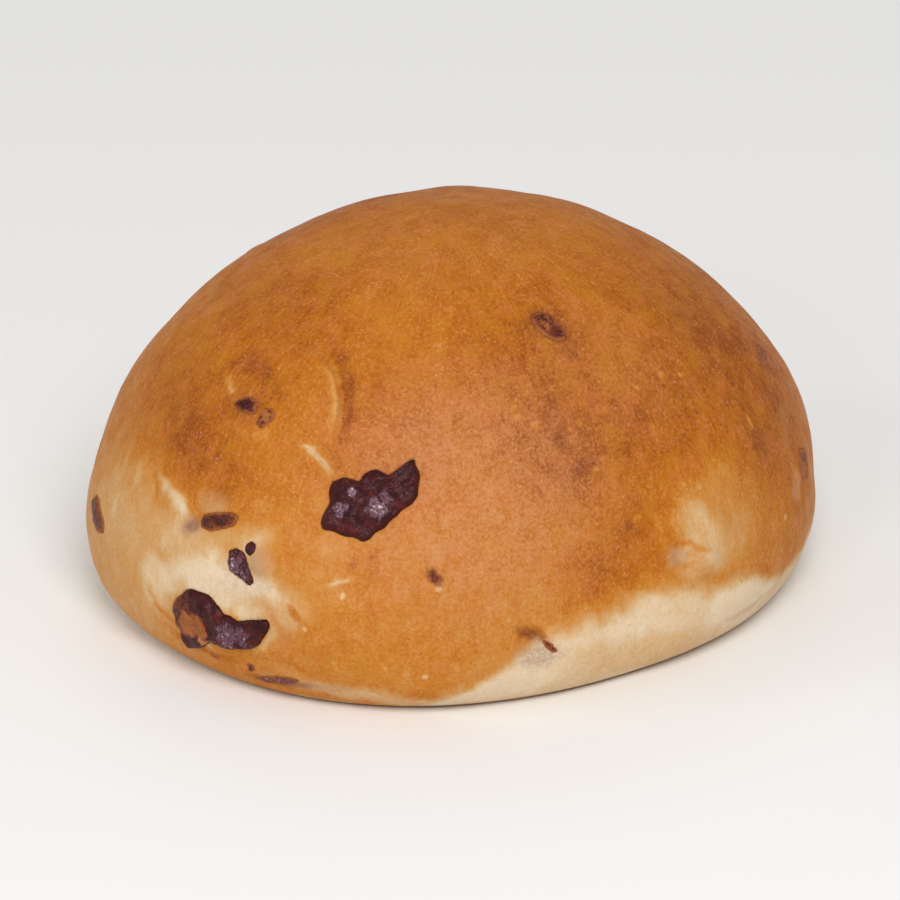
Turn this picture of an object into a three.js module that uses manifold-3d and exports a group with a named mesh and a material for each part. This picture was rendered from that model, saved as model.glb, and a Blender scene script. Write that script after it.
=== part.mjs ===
// A cranberry dinner roll: one oval bun with a high domed crust and a flat underside, and the
// pieces of dried cranberry that show where they break through the crust.
//
// Units are millimetres. X runs along the roll's length, Y across it and +Z up. The origin is the
// centre of the flat underside.
//
// A place on the roll is given by two angles in degrees: azimuth, counter-clockwise from +X as
// seen from above, and rise, which is 0 at the widest outline and 90 at the crown. At such a place
// the local axes are u, to the right as seen from outside, v, up the slope, and w, out of the crust.

import * as THREE from "three";
import { mergeVertices } from "three/addons/utils/BufferGeometryUtils.js";
import Module from "manifold-3d";

const wasm = await Module();
wasm.setup();

// ---- Driving dimensions ----

const LENGTH = 84;
const WIDTH = 75;
const HEIGHT = 45;
const WAIST_HEIGHT = 8.5; // of the widest outline, above the underside
const FOOT_SHARE = 0.87; // the flat underside's size, as a share of the widest outline
const PLAN_POWER = 2.2; // of the widest outline: 2 is an ellipse, and more is squarer
const HEEL_ANGLE = 35; // the rise, below 0, at which the rounded heel meets the flat underside
const RELIEF_FADE = 4; // the relief grows from nothing at the underside to full at this height

const BERRY_GAP = 0.3; // between a berry and the pocket that it sits in
const BERRY_PROUD = 0.7; // how far the middle of a berry stands out of the crust
const BERRY_DEPTH_SHARE = 0.35; // a berry's depth in the crust, as a share of its width
const BERRY_LEAST_DEPTH = 1; // and what is added to that
const CRUST_CURVE = 36; // the radius to which berries bend, as the crust does

const CRUST_DETAIL = 16; // subdivisions of an icosahedron's faces
const BERRY_DETAIL = 2;

// ---- Relief of the crust ----

// Broad swells and hollows: how wide each spreads, and how high it stands.
const SWELLS = [
  { azimuth: -172, rise: 40, spread: 8, height: 0.5 }, // the lobe behind the puckers
  { azimuth: 152, rise: 27, spread: 11, height: -0.9 },
  { azimuth: 150, rise: 2, spread: 9, height: 0.7 },
  { azimuth: -166, rise: 8, spread: 4.5, height: -0.6 }, // pale hollow above the corner berry
  { azimuth: -150, rise: 12, spread: 5, height: 0.3 },
  { azimuth: -78, rise: 14, spread: 6, height: 0.5 }, // pale shoulder
  { azimuth: -42, rise: 16, spread: 8, height: -0.5 },
  { azimuth: -40, rise: 42, spread: 11, height: -0.3 },
  { azimuth: -104, rise: 36, spread: 9, height: -0.3 },
  { azimuth: 30, rise: 55, spread: 11, height: -0.6 },
  { azimuth: 85, rise: 30, spread: 10, height: 0.5 },
  { azimuth: 135, rise: 50, spread: 10, height: -0.3 },
];

// Puckers: the lobe of crust inside an arc stands over the crust outside it. The arc turns
// counter-clockwise about the place, from start to end.
const PUCKERS = [
  { azimuth: -168, rise: 38, radius: 9.3, start: 0, end: 92, step: 0.9 },
  { azimuth: -161, rise: 20.5, radius: 9.9, start: 42, end: 76, step: 0.7 },
  { azimuth: 62, rise: 40, radius: 9, start: 150, end: 235, step: 0.9 },
];
const PUCKER_END = 8; // degrees over which a pucker dies out past its ends
const LOBE_SHARE = 0.6; // of the step that the lobe rises, and the groove sinks the rest
const LOBE_WIDTH = 4;
const GROOVE_WIDTH = 1.8;

// Blisters, low domes where a berry or a bubble lies close under the crust.
const BLISTERS = [
  { azimuth: -79, rise: 7, radius: 2.7, height: 0.6 },
  { azimuth: -143, rise: 15, radius: 2.6, height: 0.35 },
  { azimuth: -160, rise: 14.5, radius: 2.4, height: 0.5 },
  { azimuth: 48, rise: 12, radius: 3, height: 0.5 },
  { azimuth: 108, rise: 44, radius: 2.6, height: 0.4 },
];

// Waves that make the whole crust uneven: each has a wavelength and a height.
const WAVES = [
  { length: 34, height: 0.35 },
  { length: 13, height: 0.12 },
];
const WAVE_DIRECTIONS = 5;

// ---- Cranberries ----

// Each piece's place, its visible length and width, the turn of its length from u towards v, how
// pointed its far end is, and a seed for its uneven outline.
const BERRIES = [
  // From the left side (+150) round by the front to the right side (-40)
  { name: "left", azimuth: 157.5, rise: 6, long: 5.4, wide: 3, turn: 118, tip: 0.1, seed: 0.9 },
  { name: "pucker", azimuth: -172.5, rise: 38.5, long: 3.6, wide: 2, turn: 14, tip: 0, seed: 5.2 },
  { name: "slit", azimuth: -169, rise: 18.5, long: 4.6, wide: 1.8, turn: 22, tip: 0, seed: 3.3 },
  { name: "corner", azimuth: -166, rise: -0.5, long: 15, wide: 6, turn: 2, tip: 0, seed: 2.6 },
  { name: "frosted", azimuth: -164, rise: 12, long: 4.4, wide: 2.4, turn: 138, tip: 0, seed: 4.1 },
  { name: "base", azimuth: -157, rise: -14, long: 5.8, wide: 1.8, turn: 4, tip: 0, seed: 4.8 },
  { name: "front", azimuth: -143, rise: 27, long: 13, wide: 7.4, turn: 37, tip: 0.12, seed: 1.2 },
  { name: "heel", azimuth: -111.5, rise: -1, long: 2.8, wide: 1.6, turn: -44, tip: 0, seed: 3.7 },
  { name: "crown", azimuth: -97, rise: 55.5, long: 5.4, wide: 2, turn: -56, tip: 0, seed: 2.1 },
  { name: "right", azimuth: -42, rise: 10.5, long: 4.6, wide: 3, turn: 70, tip: 0, seed: 1.7 },
  { name: "shoulder", azimuth: -37, rise: 31.5, long: 3.8, wide: 1.7, turn: -8, tip: 0, seed: 0.3 },
  // On the far sides
  { name: "back_notched", azimuth: 6, rise: 20, long: 6.8, wide: 5.6, turn: -30, tip: 0.2, seed: 0.7 },
  { name: "back_large", azimuth: 24, rise: 33, long: 9.6, wide: 6.4, turn: 18, tip: 0.15, seed: 3.9 },
  { name: "back_low", azimuth: 64, rise: 3, long: 6.6, wide: 4.2, turn: -10, tip: 0.1, seed: 1.1 },
  { name: "back_slot", azimuth: 86, rise: 40, long: 9.4, wide: 2.8, turn: 4, tip: 0.1, seed: 5.9 },
  { name: "back_small", azimuth: 112, rise: 22, long: 4.6, wide: 3, turn: 40, tip: 0.1, seed: 2.9 },
];

const OUTLINE_LOBES = [
  { count: 3, height: 0.08 },
  { count: 5, height: 0.05 },
];
const WRINKLE_HEIGHT = 0.15; // as a share of a berry's height

// ---- Materials ----

const crustMaterial = new THREE.MeshStandardMaterial({ color: 0xbd7636, roughness: 0.5 });
const berryMaterial = new THREE.MeshStandardMaterial({ color: 0x451c20, roughness: 0.3 });

// ---- The smooth form of the bun ----

const radians = THREE.MathUtils.degToRad;
const { clamp, smoothstep } = THREE.MathUtils;

// The distance from the axis to the widest outline.
function planRadius(azimuth) {
  const x = Math.abs(Math.cos(azimuth)) / (LENGTH / 2);
  const y = Math.abs(Math.sin(azimuth)) / (WIDTH / 2);
  return (x ** PLAN_POWER + y ** PLAN_POWER) ** (-1 / PLAN_POWER);
}

// The profile from the crown through the waist and round the heel to the middle of the underside:
// a point's share of the plan radius, and its height.
function profile(rise) {
  const heel = radians(HEEL_ANGLE);
  if (rise >= 0) {
    const height = WAIST_HEIGHT + (HEIGHT - WAIST_HEIGHT) * Math.sin(rise);
    return { share: Math.cos(rise), height };
  }
  if (rise > -heel) {
    const turn = ((-rise / heel) * Math.PI) / 2;
    const share = FOOT_SHARE + (1 - FOOT_SHARE) * Math.cos(turn);
    return { share, height: WAIST_HEIGHT * (1 - Math.sin(turn)) };
  }
  const flat = (1 + Math.sin(rise)) / (1 - Math.sin(heel));
  return { share: FOOT_SHARE * Math.sqrt(Math.max(flat, 0)), height: 0 };
}

function formPoint(azimuth, rise) {
  const { share, height } = profile(rise);
  const radius = share * planRadius(azimuth);
  return new THREE.Vector3(radius * Math.cos(azimuth), radius * Math.sin(azimuth), height);
}

// The outward normal, from the slopes along and across the form.
function formNormal(azimuth, rise) {
  const small = 1e-3;
  const level = Math.min(rise, Math.PI / 2 - 2 * small);
  const here = formPoint(azimuth, level);
  const along = formPoint(azimuth + small, level).sub(here);
  const up = formPoint(azimuth, level + small).sub(here);
  return along.cross(up).normalize();
}

// ---- Relief ----

// The local axes at a place on the smooth form.
function localAxes(azimuthDegrees, riseDegrees) {
  const azimuth = radians(azimuthDegrees);
  const rise = radians(riseDegrees);
  const w = formNormal(azimuth, rise);
  const u = new THREE.Vector3(0, 0, 1).cross(w).normalize();
  const v = w.clone().cross(u);
  return { origin: formPoint(azimuth, rise), u, v, w };
}

function toLocal(point, axes) {
  const offset = point.clone().sub(axes.origin);
  return { u: offset.dot(axes.u), v: offset.dot(axes.v), distance: offset.length() };
}

const withAxes = (feature) => ({ ...feature, axes: localAxes(feature.azimuth, feature.rise) });
const swells = SWELLS.map(withAxes);
const puckers = PUCKERS.map(withAxes);
const blisters = BLISTERS.map(withAxes);

const bell = (distance, spread) => Math.exp(-((distance / spread) ** 2));

function swellRelief(point, { axes, spread, height }) {
  return height * bell(toLocal(point, axes).distance, spread);
}

function blisterRelief(point, { axes, radius, height }) {
  const share = toLocal(point, axes).distance / radius;
  return share < 1 ? height * (1 - share ** 2) ** 2 : 0;
}

// Inside the arc the crust is raised, and outside it sinks, with the step at the arc itself.
function puckerRelief(point, { axes, radius, start, end, step }) {
  const { u, v, distance } = toLocal(point, axes);
  const angle = THREE.MathUtils.radToDeg(Math.atan2(v, u));
  const middle = (start + end) / 2;
  const away = Math.abs(THREE.MathUtils.euclideanModulo(angle - middle + 180, 360) - 180);
  const share = 1 - smoothstep(away, (end - start) / 4, (end - start) / 2 + PUCKER_END);
  const out = distance - radius;
  const lobe = LOBE_SHARE * Math.exp(out / LOBE_WIDTH);
  const groove = (LOBE_SHARE - 1) * Math.exp(-out / GROOVE_WIDTH);
  return step * share * (out < 0 ? lobe : groove);
}

// Sines along directions spread evenly over the sphere, summed to an irregular wave.
function waveRelief(point, { length, height }) {
  const goldenAngle = Math.PI * (3 - Math.sqrt(5));
  let sum = 0;
  for (let i = 0; i < WAVE_DIRECTIONS; i += 1) {
    const z = (i + 0.5) / WAVE_DIRECTIONS;
    const across = Math.sqrt(1 - z * z);
    const direction = new THREE.Vector3(
      across * Math.cos(i * goldenAngle),
      across * Math.sin(i * goldenAngle),
      z,
    );
    sum += Math.sin((2 * Math.PI * point.dot(direction)) / length + 1.7 * i);
  }
  return (height * sum) / Math.sqrt(WAVE_DIRECTIONS);
}

function relief(point) {
  let height = 0;
  for (const swell of swells) height += swellRelief(point, swell);
  for (const blister of blisters) height += blisterRelief(point, blister);
  for (const pucker of puckers) height += puckerRelief(point, pucker);
  for (const wave of WAVES) height += waveRelief(point, wave);
  return height * smoothstep(point.z, 0, RELIEF_FADE);
}

function crustPoint(azimuth, rise) {
  const point = formPoint(azimuth, rise);
  return point.addScaledVector(formNormal(azimuth, rise), relief(point));
}

// ---- Geometry ----

// An icosahedron's subdivided sphere with its shared vertices merged, and each vertex moved to
// where place(direction) puts it.
function shapedSphere(detail, place) {
  const sphere = new THREE.IcosahedronGeometry(1, detail);
  sphere.deleteAttribute("normal");
  sphere.deleteAttribute("uv");
  const geometry = mergeVertices(sphere, 1e-5);
  const position = geometry.getAttribute("position");
  const direction = new THREE.Vector3();
  for (let i = 0; i < position.count; i += 1) {
    const { x, y, z } = place(direction.fromBufferAttribute(position, i).normalize());
    position.setXYZ(i, x, y, z);
  }
  return geometry;
}

function crustGeometry() {
  return shapedSphere(CRUST_DETAIL, (direction) => {
    const azimuth = Math.atan2(direction.y, direction.x);
    return crustPoint(azimuth, Math.asin(clamp(direction.z, -1, 1)));
  });
}

// A lobed and wrinkled lump with its length along x. Its widest outline lies in the crust's
// surface, a low cap stands out of it and the rest reaches into it.
function berryGeometry({ long, wide, tip, seed }, grow = 0) {
  const depth = BERRY_DEPTH_SHARE * wide + BERRY_LEAST_DEPTH;
  return shapedSphere(BERRY_DETAIL, ({ x, y, z }) => {
    const angle = Math.atan2(y, x);
    let reach = 1 + tip * Math.max(Math.cos(angle), 0) ** 5;
    for (const { count, height } of OUTLINE_LOBES) reach += height * Math.sin(count * (angle + seed));
    const wrinkle = 1 + WRINKLE_HEIGHT * Math.sin(6 * x + seed) * Math.cos(5 * y - 2 * seed);
    const across = { x: x * reach * (long / 2 + grow), y: y * reach * (wide / 2 + grow) };
    const bend = (across.x ** 2 + across.y ** 2) / (2 * CRUST_CURVE);
    return { ...across, z: z * (wrinkle * (z > 0 ? BERRY_PROUD : depth) + grow) - bend };
  });
}

// Puts a berry's local axes on the crust at its place, with its length turned from u towards v.
function berryMatrix({ azimuth, rise, turn }) {
  const { u, v, w } = localAxes(azimuth, rise);
  const along = u.clone().applyAxisAngle(w, radians(turn));
  const across = v.clone().applyAxisAngle(w, radians(turn));
  const origin = crustPoint(radians(azimuth), radians(rise));
  return new THREE.Matrix4().makeBasis(along, across, w).setPosition(origin);
}

// ---- Solids ----

function toSolid(geometry) {
  return new wasm.Manifold(
    new wasm.Mesh({
      numProp: 3,
      vertProperties: geometry.getAttribute("position").array,
      triVerts: Uint32Array.from(geometry.index.array),
    }),
  );
}

function toGeometry(solid) {
  const { vertProperties, triVerts } = solid.getMesh();
  const geometry = new THREE.BufferGeometry();
  geometry.setAttribute("position", new THREE.BufferAttribute(vertProperties, 3));
  geometry.setIndex(new THREE.BufferAttribute(triVerts, 1));
  geometry.computeVertexNormals();
  return geometry;
}

function berryMesh(berry) {
  const geometry = berryGeometry(berry);
  geometry.computeVertexNormals();
  const mesh = new THREE.Mesh(geometry, berryMaterial);
  mesh.name = `cranberry_${berry.name}`;
  mesh.applyMatrix4(berryMatrix(berry));
  return mesh;
}

// The bun with a pocket for each berry, a little larger than the berry all round.
function bunMesh() {
  let solid = toSolid(crustGeometry());
  for (const berry of BERRIES) {
    const pocket = berryGeometry(berry, BERRY_GAP).applyMatrix4(berryMatrix(berry));
    solid = solid.subtract(toSolid(pocket));
  }
  const mesh = new THREE.Mesh(toGeometry(solid), crustMaterial);
  mesh.name = "bun";
  return mesh;
}

const roll = new THREE.Group();
roll.add(bunMesh());
for (const berry of BERRIES) roll.add(berryMesh(berry));

export default roll;
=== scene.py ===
"""A cranberry dinner roll on a pale floor.

The crust is one mesh that follows the CAD bun, with finer relief, and each cranberry piece is a
wrinkled mesh of its own in a pocket of the crust. Lengths are in millimetres in this script, and
are turned into metres when a mesh is made. A place on the roll is given by two angles in degrees:
azimuth, counter-clockwise from +X as seen from above, and rise, 0 at the widest outline and 90 at
the crown. At such a place the local axes are u, to the right as seen from outside, v, up the
slope, and w, out of the crust.
"""

import math

import bmesh
import bpy
import numpy as np
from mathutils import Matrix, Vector, noise


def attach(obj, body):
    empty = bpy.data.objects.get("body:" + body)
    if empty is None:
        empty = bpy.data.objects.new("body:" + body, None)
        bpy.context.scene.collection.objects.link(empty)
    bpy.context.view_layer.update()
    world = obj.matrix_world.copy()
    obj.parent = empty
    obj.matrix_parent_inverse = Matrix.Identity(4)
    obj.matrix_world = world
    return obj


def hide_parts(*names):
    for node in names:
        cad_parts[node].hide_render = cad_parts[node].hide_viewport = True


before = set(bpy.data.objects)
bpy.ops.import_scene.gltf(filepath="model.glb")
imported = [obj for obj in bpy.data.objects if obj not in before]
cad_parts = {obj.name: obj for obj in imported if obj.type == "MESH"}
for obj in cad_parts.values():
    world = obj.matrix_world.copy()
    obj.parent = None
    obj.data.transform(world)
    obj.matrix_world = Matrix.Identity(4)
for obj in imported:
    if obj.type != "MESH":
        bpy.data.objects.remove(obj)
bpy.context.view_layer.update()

MM = 0.001

# ---- The form and relief of the CAD bun ----

LENGTH = 84
WIDTH = 75
HEIGHT = 45
WAIST_HEIGHT = 8.5  # of the widest outline, above the underside
FOOT_SHARE = 0.87  # the flat underside's size, as a share of the widest outline
PLAN_POWER = 2.2  # of the widest outline: 2 is an ellipse, and more is squarer
HEEL = math.radians(35)  # how far below 0 the rounded heel meets the flat underside
RELIEF_FADE = 4  # the relief grows from nothing at the underside to full at this height

# Broad swells and hollows: azimuth, rise, spread, height
SWELLS = [
    (-172, 40, 8, 0.5),
    (152, 27, 11, -0.9),
    (150, 2, 9, 0.7),
    (-166, 8, 4.5, -0.6),
    (-150, 12, 5, 0.3),
    (-78, 14, 6, 0.5),
    (-42, 16, 8, -0.5),
    (-40, 42, 11, -0.3),
    (-104, 36, 9, -0.3),
    (30, 55, 11, -0.6),
    (85, 30, 10, 0.5),
    (135, 50, 10, -0.3),
]

# Puckers, where the lobe of crust inside an arc stands over the crust outside it: azimuth, rise,
# radius, the arc's start and end, counter-clockwise, and the step at the arc
PUCKERS = [
    (-168, 38, 9.3, 0, 92, 0.9),
    (-161, 20.5, 9.9, 42, 76, 0.7),
    (62, 40, 9, 150, 235, 0.9),
]
PUCKER_END = 8  # degrees over which a pucker dies out past its ends
LOBE_SHARE = 0.6  # of the step that the lobe rises, and the groove sinks the rest
LOBE_WIDTH = 4
GROOVE_WIDTH = 1.8

# Blisters, low domes where a berry or a bubble lies close under the crust: azimuth, rise, radius,
# height
BLISTERS = [
    (-79, 7, 2.7, 0.6),
    (-143, 15, 2.6, 0.35),
    (-160, 14.5, 2.4, 0.5),
    (48, 12, 3, 0.5),
    (108, 44, 2.6, 0.4),
]

# Waves that make the whole crust uneven: wavelength, height
WAVES = [(34, 0.35), (13, 0.12)]
WAVE_DIRECTIONS = 5
WAVE_PHASE = 1.7  # radians from one direction's wave to the next one's


def plan_radius(azimuth):
    x = np.abs(np.cos(azimuth)) / (LENGTH / 2)
    y = np.abs(np.sin(azimuth)) / (WIDTH / 2)
    return (x**PLAN_POWER + y**PLAN_POWER) ** (-1 / PLAN_POWER)


def form_point(azimuth, rise):
    """Points on the smooth bun, for arrays of angles in radians."""
    turn = np.clip(-rise / HEEL, 0, 1) * math.pi / 2
    flat = np.clip((1 + np.sin(rise)) / (1 - math.sin(HEEL)), 0, 1)
    lower = np.where(rise > -HEEL, FOOT_SHARE + (1 - FOOT_SHARE) * np.cos(turn), FOOT_SHARE * np.sqrt(flat))
    share = np.where(rise >= 0, np.cos(rise), lower)
    dome = WAIST_HEIGHT + (HEIGHT - WAIST_HEIGHT) * np.sin(rise)
    height = np.where(rise >= 0, dome, WAIST_HEIGHT * (1 - np.sin(turn)))
    radius = share * plan_radius(azimuth)
    return np.stack([radius * np.cos(azimuth), radius * np.sin(azimuth), height], axis=-1)


def unit(vectors):
    return vectors / np.linalg.norm(vectors, axis=-1, keepdims=True)


def form_normal(azimuth, rise):
    small = 1e-3
    level = np.minimum(rise, math.pi / 2 - 2 * small)
    here = form_point(azimuth, level)
    along = form_point(azimuth + small, level) - here
    up = form_point(azimuth, level + small) - here
    return unit(np.cross(along, up))


class Place:
    """A place on the smooth bun, with its local axes."""

    def __init__(self, azimuth, rise):
        self.azimuth = math.radians(azimuth)
        self.rise = math.radians(rise)
        self.origin = form_point(np.array(self.azimuth), np.array(self.rise))
        self.w = form_normal(np.array(self.azimuth), np.array(self.rise))
        self.u = unit(np.cross([0, 0, 1], self.w))
        self.v = np.cross(self.w, self.u)

    def local(self, points):
        """Each point's u and v, and its distance from the place."""
        offset = points - self.origin
        return offset @ self.u, offset @ self.v, np.linalg.norm(offset, axis=-1)


def smoothstep(value, low, high):
    share = np.clip((value - low) / (high - low), 0, 1)
    return share * share * (3 - 2 * share)


def arc_share(u, v, start, end, soft):
    """How far each direction lies within an arc: 1 in its middle, 0 past its ends."""
    middle = (start + end) / 2
    away = np.abs((np.degrees(np.arctan2(v, u)) - middle + 180) % 360 - 180)
    return 1 - smoothstep(away, (end - start) / 4, (end - start) / 2 + soft)


def base_relief(points):
    """The relief that the CAD bun has too."""
    height = np.zeros(len(points))
    for azimuth, rise, spread, peak in SWELLS:
        height += peak * np.exp(-((Place(azimuth, rise).local(points)[2] / spread) ** 2))
    for azimuth, rise, radius, peak in BLISTERS:
        share = np.minimum(Place(azimuth, rise).local(points)[2] / radius, 1)
        height += peak * (1 - share**2) ** 2
    for azimuth, rise, radius, start, end, step in PUCKERS:
        u, v, distance = Place(azimuth, rise).local(points)
        out = distance - radius
        lobe = LOBE_SHARE * np.exp(np.minimum(out, 0) / LOBE_WIDTH)
        groove = (LOBE_SHARE - 1) * np.exp(-np.maximum(out, 0) / GROOVE_WIDTH)
        height += step * arc_share(u, v, start, end, PUCKER_END) * np.where(out < 0, lobe, groove)
    golden_angle = math.pi * (3 - math.sqrt(5))
    for length, peak in WAVES:
        for i in range(WAVE_DIRECTIONS):
            z = (i + 0.5) / WAVE_DIRECTIONS
            across = math.sqrt(1 - z * z)
            direction = [across * math.cos(i * golden_angle), across * math.sin(i * golden_angle), z]
            wave = np.sin(2 * math.pi * (points @ direction) / length + WAVE_PHASE * i)
            height += peak * wave / math.sqrt(WAVE_DIRECTIONS)
    return height * smoothstep(points[:, 2], 0, RELIEF_FADE)


# ---- Cranberries ----

EDGE_STOPS = (0.14, 0.5, 0.86)  # where an outline's points lie along each of its edges
OUTLINE_GROWTH = 1.02
OUTLINE_RIPPLES = [(7, 0.02), (12, 0.025)]  # waves round an outline, and their height as a share of it
BERRY_REACH = 15  # a point farther than this from a berry's place is outside it

POCKET_DEPTH = 1.6
POCKET_SLOPE = 0.85  # a pocket is never deeper than this times its outline's least radius
POCKET_WALL = 0.45  # how far inside a berry's outline the crust has sunk to the pocket's depth
LIP_HEIGHT = 0.1  # the crust is raised by this just outside a large berry
LIP_WIDTH = 0.7


class Berry:
    """A cranberry piece: its place, and its outline as a distance from its middle in each direction."""

    def __init__(self, name, azimuth, rise, proud, wrinkle, seed, outline, film=0, frost=0, films=(),
                 frost_and_glint_patches=(), chip=False):
        self.name = name
        self.place = Place(azimuth, rise)
        self.proud = proud
        self.wrinkle = wrinkle
        self.seed = seed
        self.film = film
        self.frost = frost
        self.films = films
        self.frost_and_glint_patches = frost_and_glint_patches
        self.chip = chip
        corners = np.array(outline, dtype=float)
        self.centre = (corners.min(axis=0) + corners.max(axis=0)) / 2
        edges = np.roll(corners, -1, axis=0) - corners
        # Each corner is cut off between a point before it and a point past it.
        offset = np.concatenate([corners + share * edges for share in EDGE_STOPS]) - self.centre
        angles = np.arctan2(offset[:, 1], offset[:, 0])
        order = np.argsort(angles)
        self.angles = angles[order]
        self.radii = np.linalg.norm(offset, axis=1)[order]

    def reach(self, angle):
        """The outline's distance from the middle, with a slightly ragged edge."""
        ragged = OUTLINE_GROWTH
        for i, (waves, share) in enumerate(OUTLINE_RIPPLES):
            ragged = ragged + share * np.sin(waves * angle + (i + 1) * self.seed)
        return ragged * np.interp(angle, self.angles, self.radii, period=2 * math.pi)

    def outside(self, points):
        """Each point's distance outside the outline, below 0 inside."""
        u, v, distance = self.place.local(points)
        u = u - self.centre[0]
        v = v - self.centre[1]
        gap = np.hypot(u, v) - self.reach(np.arctan2(v, u))
        return np.where(distance < BERRY_REACH, gap, BERRY_REACH)
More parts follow.
